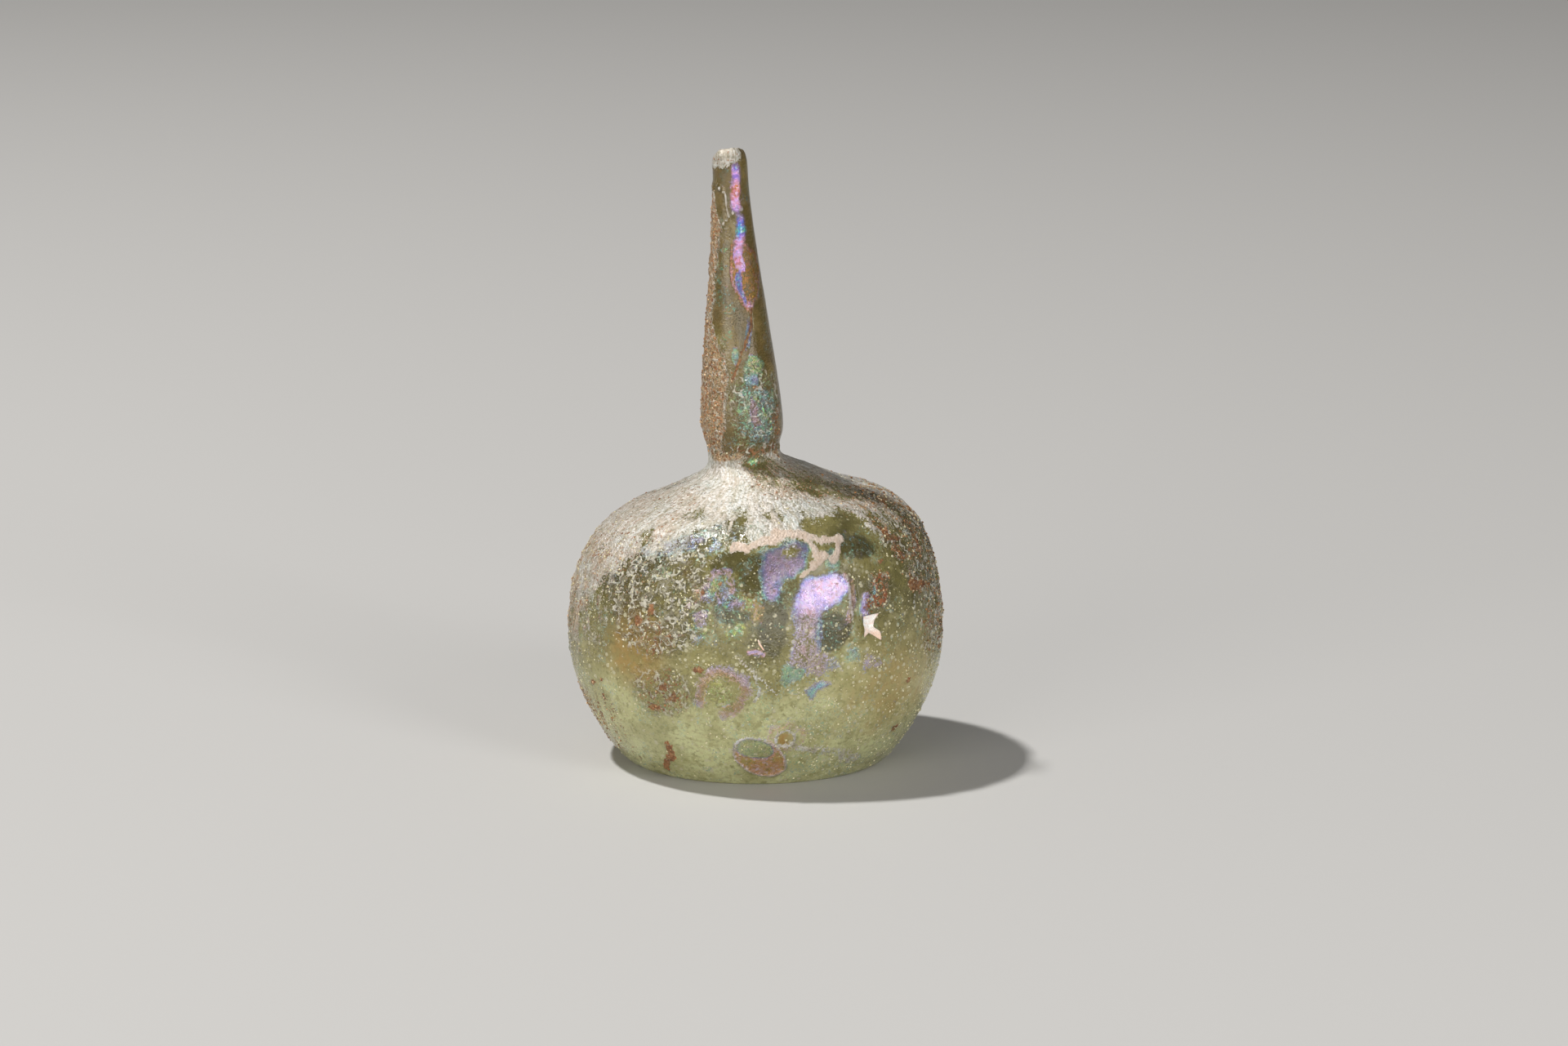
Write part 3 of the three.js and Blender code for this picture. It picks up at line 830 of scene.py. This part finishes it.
# The glass's colour. Its pale milky layers towards the foot are partly painted glow; the dark groove layer is
# painted shade and the pale ridge layer a painted highlight
glass_c = layered(
    (70, 64, 34),
    (between(haze_and_glow_v, 0, 0.55), (162, 153, 96)),
    (between(haze_and_glow_v, 0.5, 1), (244, 246, 186)),
    (times(between(broad, 0.4, 0.62), clouding), (164, 158, 94)),
    (times(between(mid, 0.48, 0.66), clouding), (214, 206, 150)),
    (times(between(mid, 0.5, 0.34), clouding), (158, 150, 88)),
    (specking, (104, 100, 56)),
    (times(pits_v, 0.5), (114, 104, 64)),
    # painted shade beside the wriggles
    (times(painted_groove_shade, 0.6), (74, 68, 40)),
    (times(stain_v, between(mid, 0.35, 0.6, 0.4, 1)), (186, 144, 70)),
    (times(speck_m, 0.85), (230, 224, 190)),
    (times(hollow_m, 0.4), (112, 78, 46)),
    # painted highlight on the ridges and wriggles
    (times(painted_ridge_highlight, 0.9), (246, 240, 222)))

FILM_COLOURS = ((0, (206, 190, 116)), (0.1, (224, 172, 104)), (0.2, (230, 172, 144)),
                (0.3, (236, 184, 204)), (0.42, (226, 198, 244)), (0.54, (182, 164, 230)),
                (0.64, (142, 162, 230)), (0.74, (134, 208, 226)), (0.84, (128, 222, 184)),
                (0.94, (186, 222, 122)), (1, (214, 212, 116)))
jitter = plus(centred(grit, 0.35), centred(granule_tone, 0.14))
ramp = node("ValToRGB", {0: plus(hue_v, jitter)})
stops = ramp.node.color_ramp.elements
for stop, (at, tone) in zip(stops, (FILM_COLOURS[0], FILM_COLOURS[-1])):
    stop.position, stop.color = at, shade(tone)
for at, tone in FILM_COLOURS[1:-1]:
    stops.new(at).color = shade(tone)
dull = times(between(film_v, 0.42, 0.5), between(film_v, 0.95, 0.6, 0, 0.5))
film_c = layered(
    ramp,
    # white flecks, painted sparkle
    (between(granule_tone, 0.55, 1, 0, 0.5), (248, 240, 250)),
    (between(granule_tone, 0.35, 0, 0, 0.35), (96, 92, 84)),
    (dull, (112, 100, 108)))
richer = between(height_up, RICH_FROM, RICH_FULL, 1, 1.5)
deeper = between(height_up, RICH_FROM, RICH_FULL, 1, 0.85)
film_c = node("HueSaturation", {"Saturation": richer, "Value": deeper, "Color": film_c})

crust_c = layered(
    (238, 239, 235),
    (between(streak, 0.38, 0.62), (200, 194, 177)),
    (between(broad, 0.42, 0.6, 0, 0.4), (224, 206, 192)),
    (between(soil_v, 0.2, 0.42, 0, 0.8), (204, 166, 112)),
    (between(granule_tone, 0.7, 1, 0, 0.7), (250, 248, 244)),
    (between(granule_tone, 0.36, 0, 0, 0.55), (142, 134, 104)),
    (times(film_m, 0.4), film_c),
    (between(ribbon_v, 0.2, 0.8, 0, 0.6), (234, 206, 186)))
soil_c = layered(
    (186, 122, 74),
    (between(mid, 0.4, 0.6), (132, 82, 48)),
    (between(granule_tone, 0.6, 1, 0, 0.7), (206, 160, 108)),
    (times(rusty_v, 0.6), (200, 104, 62)))

colour = layered(glass_c, (times(film_m, 0.86), film_c), (crust_m, crust_c), (soil_m, soil_c))
cover = sums("MAXIMUM", crust_m, soil_m)
bare = sums("SUBTRACT", 1, cover)
pearl = times(crust_m, sums("SUBTRACT", 0.42, times(soil_m, 0.36)))
gleam = plus(times(bare, times(film_m, 0.54)), pearl)
rough = plus(times(cover, 0.44), between(mid, 0.3, 0.7, 0.07, 0.2))
rough = plus(rough, times(film_m, 0.12))
pocks = times(pits_v, between(crater, 0.1, 0.5))
skin = times(fine, sums("MULTIPLY_ADD", cover, 0.6, sums("MULTIPLY_ADD", film_m, 0.3, 0.2)))
beads = sums("MULTIPLY_ADD", cover, -0.3, sums("MULTIPLY_ADD", pits_v, -0.5, -0.1))
skin = plus(skin, times(granule, beads))
height = plus(plus(skin, pocks), times(wriggle_m, 0.9))
wire(shader, Base_Color=colour, Metallic=gleam, Roughness=rough, Normal=bumps(height, 0.75, 0.35))
shader.inputs["Transmission Weight"].default_value = CLOUDED
shader.inputs["IOR"].default_value = GLASS_IOR
glass_mesh.materials.append(weathered)

inside_glass, inside_shader = new_material("inside_glass")
inside_shader.inputs["Base Color"].default_value = (1, 1, 1, 1)
inside_shader.inputs["Roughness"].default_value = INSIDE_ROUGHNESS
inside_shader.inputs["Transmission Weight"].default_value = 1
inside_shader.inputs["IOR"].default_value = GLASS_IOR
glass_mesh.materials.append(inside_glass)
quad_rows = np.repeat(np.arange(len(ring_r) - 1), COLUMNS)
inner_faces = np.concatenate([quad_rows >= outer_rows, np.zeros(COLUMNS, bool), np.ones(COLUMNS, bool)])
glass_mesh.polygons.foreach_set("material_index", inner_faces.astype(np.int32))
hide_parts("sprinkler")
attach(glass, "root")

# Soil grains
# Crumbs of the brown earth the vessel lay in, dried hard in the pits of the left front, round the
# neck's root and down its left side, and along the right edge.
SOIL_COUNT = 1800
SOIL_SIZE = (0.12, 0.34)
GOLDEN = (1 + 5 ** 0.5) / 2
RECTANGLE = np.array([(-1, GOLDEN, 0), (1, GOLDEN, 0), (-1, -GOLDEN, 0), (1, -GOLDEN, 0)])

# The faces of a twenty-sided ball join the corners that are one side apart
corners = np.vstack([np.roll(RECTANGLE, k, axis=1) for k in range(3)])
joined = np.isclose(np.linalg.norm(corners[:, None] - corners, axis=-1), 2)
a, b, c = np.nonzero(joined[:, :, None] & joined[:, None] & joined)
turned_out = np.sum(corners[a] * np.cross(corners[b], corners[c]), axis=-1) > 0
crumb_faces = np.stack([a, b, c], axis=-1)[turned_out & (a < b) & (a < c)]
crumb_corners = corners / np.linalg.norm(RECTANGLE[0])


def grainy(shader, colour, grit_size, dents, dent_share, dent_colour, roughness, bump):
    """Colours a shader, with grit of a size in mm that darkens its dents, varies its roughness and raises
    bumps. dents are the grit's values from rim to bottom of a dent, bump is a strength and a depth in mm."""
    grit = noise(node("TexCoord", {}, "Object"), grit_size * MM, 3, 0.6)
    gritty = layered(colour, (between(grit, *dents, 0, dent_share), dent_colour))
    rough = between(grit, 0.35, 0.65, *roughness)
    wire(shader, Base_Color=gritty, Roughness=rough, Normal=bumps(grit, *bump))


def strewn_crumbs(name, chance, count, sizes, flatness, seed):
    """Small lumps half sunk in the outside of the glass, more of them where chance is higher. Each is a
    twenty-sided ball, its corners those of three golden rectangles at right angles, pulled in and out and
    flattened towards the glass."""
    rng = np.random.default_rng(seed)
    weight = (np.clip(chance, 0, 1) * cell_area * outside * ease(1, 3, up)).ravel()
    picked = rng.choice(weight.size, count, p=weight / weight.sum())
    normal, right, above, middle = (f.reshape(-1, 3)[picked] for f in (outward, across, climb, place))
    middle = middle + MM * (right * (rng.random((count, 1)) - 0.5) + above * (rng.random((count, 1)) - 0.5))
    size = sizes[0] + (sizes[1] - sizes[0]) * rng.random((count, 1)) ** 2
    spin = rng.random((count, 1)) * 2 * np.pi
    right = right / np.linalg.norm(right, axis=1, keepdims=True)
    forth = np.cross(normal, right)
    first = np.cos(spin) * right + np.sin(spin) * forth
    second = np.cross(normal, first)
    stretch = 0.8 + 0.6 * rng.random((count, 1))
    each = len(crumb_corners)
    knobs = crumb_corners * (0.72 + 0.5 * rng.random((count, each, 1)))
    points = (knobs[..., 0:1] * (first * stretch)[:, None] + knobs[..., 1:2] * second[:, None]
              + (knobs[..., 2:3] * flatness + 0.15) * normal[:, None])
    points = middle[:, None] + MM * size[:, None] * points
    faces = (crumb_faces + each * np.arange(count)[:, None, None]).reshape(-1, 3)
    mesh = loose_mesh(name, points.reshape(-1, 3), faces.ravel(), np.full(len(faces), 3))
    tone = np.repeat(rng.random((count, 1)), each, axis=0)
    paint(mesh, "Tone", np.hstack([tone, tone, tone, np.ones_like(tone)]))
    crumbs = bpy.data.objects.new(name, mesh)
    pieces.link(crumbs)
    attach(crumbs, "root")
    return mesh


soil_chance = ease(0.25, 0.75, soil + 0.5 * (grain - 0.5)) + 0.5 * neck_crust + 0.4 * rusty
soil_chance += 0.4 * right_side * (1 - back)
soil_mesh = strewn_crumbs("soil_grains", soil_chance, SOIL_COUNT, SOIL_SIZE, 0.7, 11)
earth, earth_shader = new_material("dried_earth")
tone_v = channels("Tone")[0]
earth_c = layered(
    (120, 78, 46),
    (between(tone_v, 0, 0.6), (190, 140, 92)),
    (between(tone_v, 0.6, 1), (234, 208, 170)))
grainy(earth_shader, earth_c, 0.25, (0.55, 0.4), 0.5, (86, 54, 32), (0.45, 0.85), (0.6, 0.1))
soil_mesh.materials.append(earth)

# Lime specks
# Pale grains of lime that crystallised on the glass in the ground, thickest on the right of the belly
# and in a streak above the heel.
LIME_COUNT = 3200
LIME_SIZE = (0.09, 0.3)
lime_chance = ease(0.35, 0.9, specks + 0.6 * (grain - 0.5)) * ease(64, 56, up)
lime_chance *= 1 - 0.8 * ease(0.2, 0.5, film)
lime_chance += 0.6 * pits * on_belly + 1.2 * ease(-1.2, 0.6, lime) + 0.5 * right_side
lime_mesh = strewn_crumbs("lime_specks", lime_chance * (1 - 0.7 * back), LIME_COUNT, LIME_SIZE, 0.6, 23)
lime_stone, lime_shader = new_material("lime_specks")
lime_c = layered((196, 188, 142), (channels("Tone")[0], (236, 230, 200)))
grainy(lime_shader, lime_c, 0.2, (0.55, 0.4), 0.4, (170, 156, 116), (0.15, 0.5), (0.5, 0.08))
lime_mesh.materials.append(lime_stone)

# Loose scales
# Thin scales of the weathered skin that have come away from the glass and curl up at their edges: a
# ragged star on the right of the belly and a small curl at the front.
STAR_SCALE = [(38.5, 43.5), (44.9, 43.7), (42.3, 42.2), (41.6, 40.7), (44.6, 39.2), (45.3, 36.8),
              (41.8, 38.6), (40, 39.4), (37.8, 38.4), (38.4, 40.3), (38, 41.7)]
STAR_MIDDLE = (40.1, 41)
CURL_SCALE = [(0.9, 39.8), (1.6, 38.7), (2.9, 37.2), (2.4, 37.1), (1, 38.5), (0.5, 39.6)]
CURL_MIDDLE = (1.65, 38.2)
SCALE_RIM = 48
SCALE_RINGS = np.array([0.4, 0.72, 0.92])
SCALE_THICK = 0.16
SCALE_LIFT = 0.15
NEAR_DEGREES, NEAR_MM = 20, 15
PEACH_FROM, PEACH_FULL = 41.2 * MM, 38.2 * MM


def on_glass(turns, heights):
    """Points on the outside of the glass at given degrees and mm up, and the directions out from them:
    the nearest points of the grid, moved along their tangents by what is left over."""
    near = (np.abs(degrees - turns.mean()) < NEAR_DEGREES) & (np.abs(up - heights.mean()) < NEAR_MM)
    near &= outside > 0
    gap_across = np.radians(turns[:, None] - degrees[near]) * girth[near]
    gap_up = heights[:, None] - up[near]
    nearest = np.argmin(gap_across ** 2 + gap_up ** 2, axis=1)
    picked = (np.arange(len(turns)), nearest)
    sideways = across[near][nearest]
    sideways /= np.linalg.norm(sideways, axis=1, keepdims=True)
    upwards = climb[near][nearest]
    upwards /= upwards[:, 2:3]
    spot = place[near][nearest] / MM
    spot = spot + sideways * gap_across[picked][:, None] + upwards * gap_up[picked][:, None]
    return spot, outward[near][nearest]


def loose_scale(name, corners, middle, lift, curl):
    """A thin closed scale over an outline of degrees and mm: rings shrunk towards its middle, the under
    face and the upper face sharing the rim. It stands lift mm off, its edge curled up by curl mm."""
    shape = np.array(corners + corners[:1], float)
    rim = evenly(shape, SCALE_RIM + 1)[:-1]
    turned = np.sum(rim[:, 0] * np.roll(rim[:, 1], -1) - np.roll(rim[:, 0], -1) * rim[:, 1])
    rim = rim if turned > 0 else rim[::-1]
    middle = np.array(middle)
    share = np.concatenate([SCALE_RINGS, [1], SCALE_RINGS[::-1]])
    face = np.sign(np.arange(len(share)) - len(SCALE_RINGS))
    flat = middle + share[:, None, None] * (rim - middle)
    spot, normal = on_glass(flat[..., 0].ravel(), flat[..., 1].ravel())
    rise = lift + curl * share[:, None] ** 3 * (0.5 + 0.5 * np.sin(np.linspace(0, 4 * np.pi, SCALE_RIM)))
    rise = rise + SCALE_THICK / 2 * face[:, None] * (1 - share[:, None] ** 4)
    grid = (spot + normal * rise.reshape(-1, 1)).reshape(len(share), SCALE_RIM, 3) * MM
    centre, out = on_glass(middle[:1], middle[1:])
    poles = [(centre[0] + out[0] * (lift + SCALE_THICK / 2 * sign)) * MM for sign in (-1, 1)]
    return closed_grid(name, grid, *poles)


pearly, pearly_shader = new_material("loose_scale")
where = node("TexCoord", {}, "Object")
scale_up = node("SeparateXYZ", {0: where}, 2)
pearly_c = layered(
    (250, 248, 244),
    (between(noise(where, 1.2 * MM, 3, 0.6), 0.45, 0.65), (246, 220, 208)),
    (between(scale_up, PEACH_FROM, PEACH_FULL, 0, 0.8), (244, 204, 176)))
grainy(pearly_shader, pearly_c, 0.3, (0.52, 0.38), 0.5, (206, 186, 166), (0.2, 0.45), (0.5, 0.1))
for name, corners, middle, curl in (("star_scale", STAR_SCALE, STAR_MIDDLE, 0.7),
                                    ("curl_scale", CURL_SCALE, CURL_MIDDLE, 0.4)):
    scale_mesh = loose_scale(name, corners, middle, SCALE_LIFT, curl)
    scale_mesh.materials.append(pearly)
    scale = bpy.data.objects.new(name, scale_mesh)
    pieces.link(scale)
    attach(scale, "root")
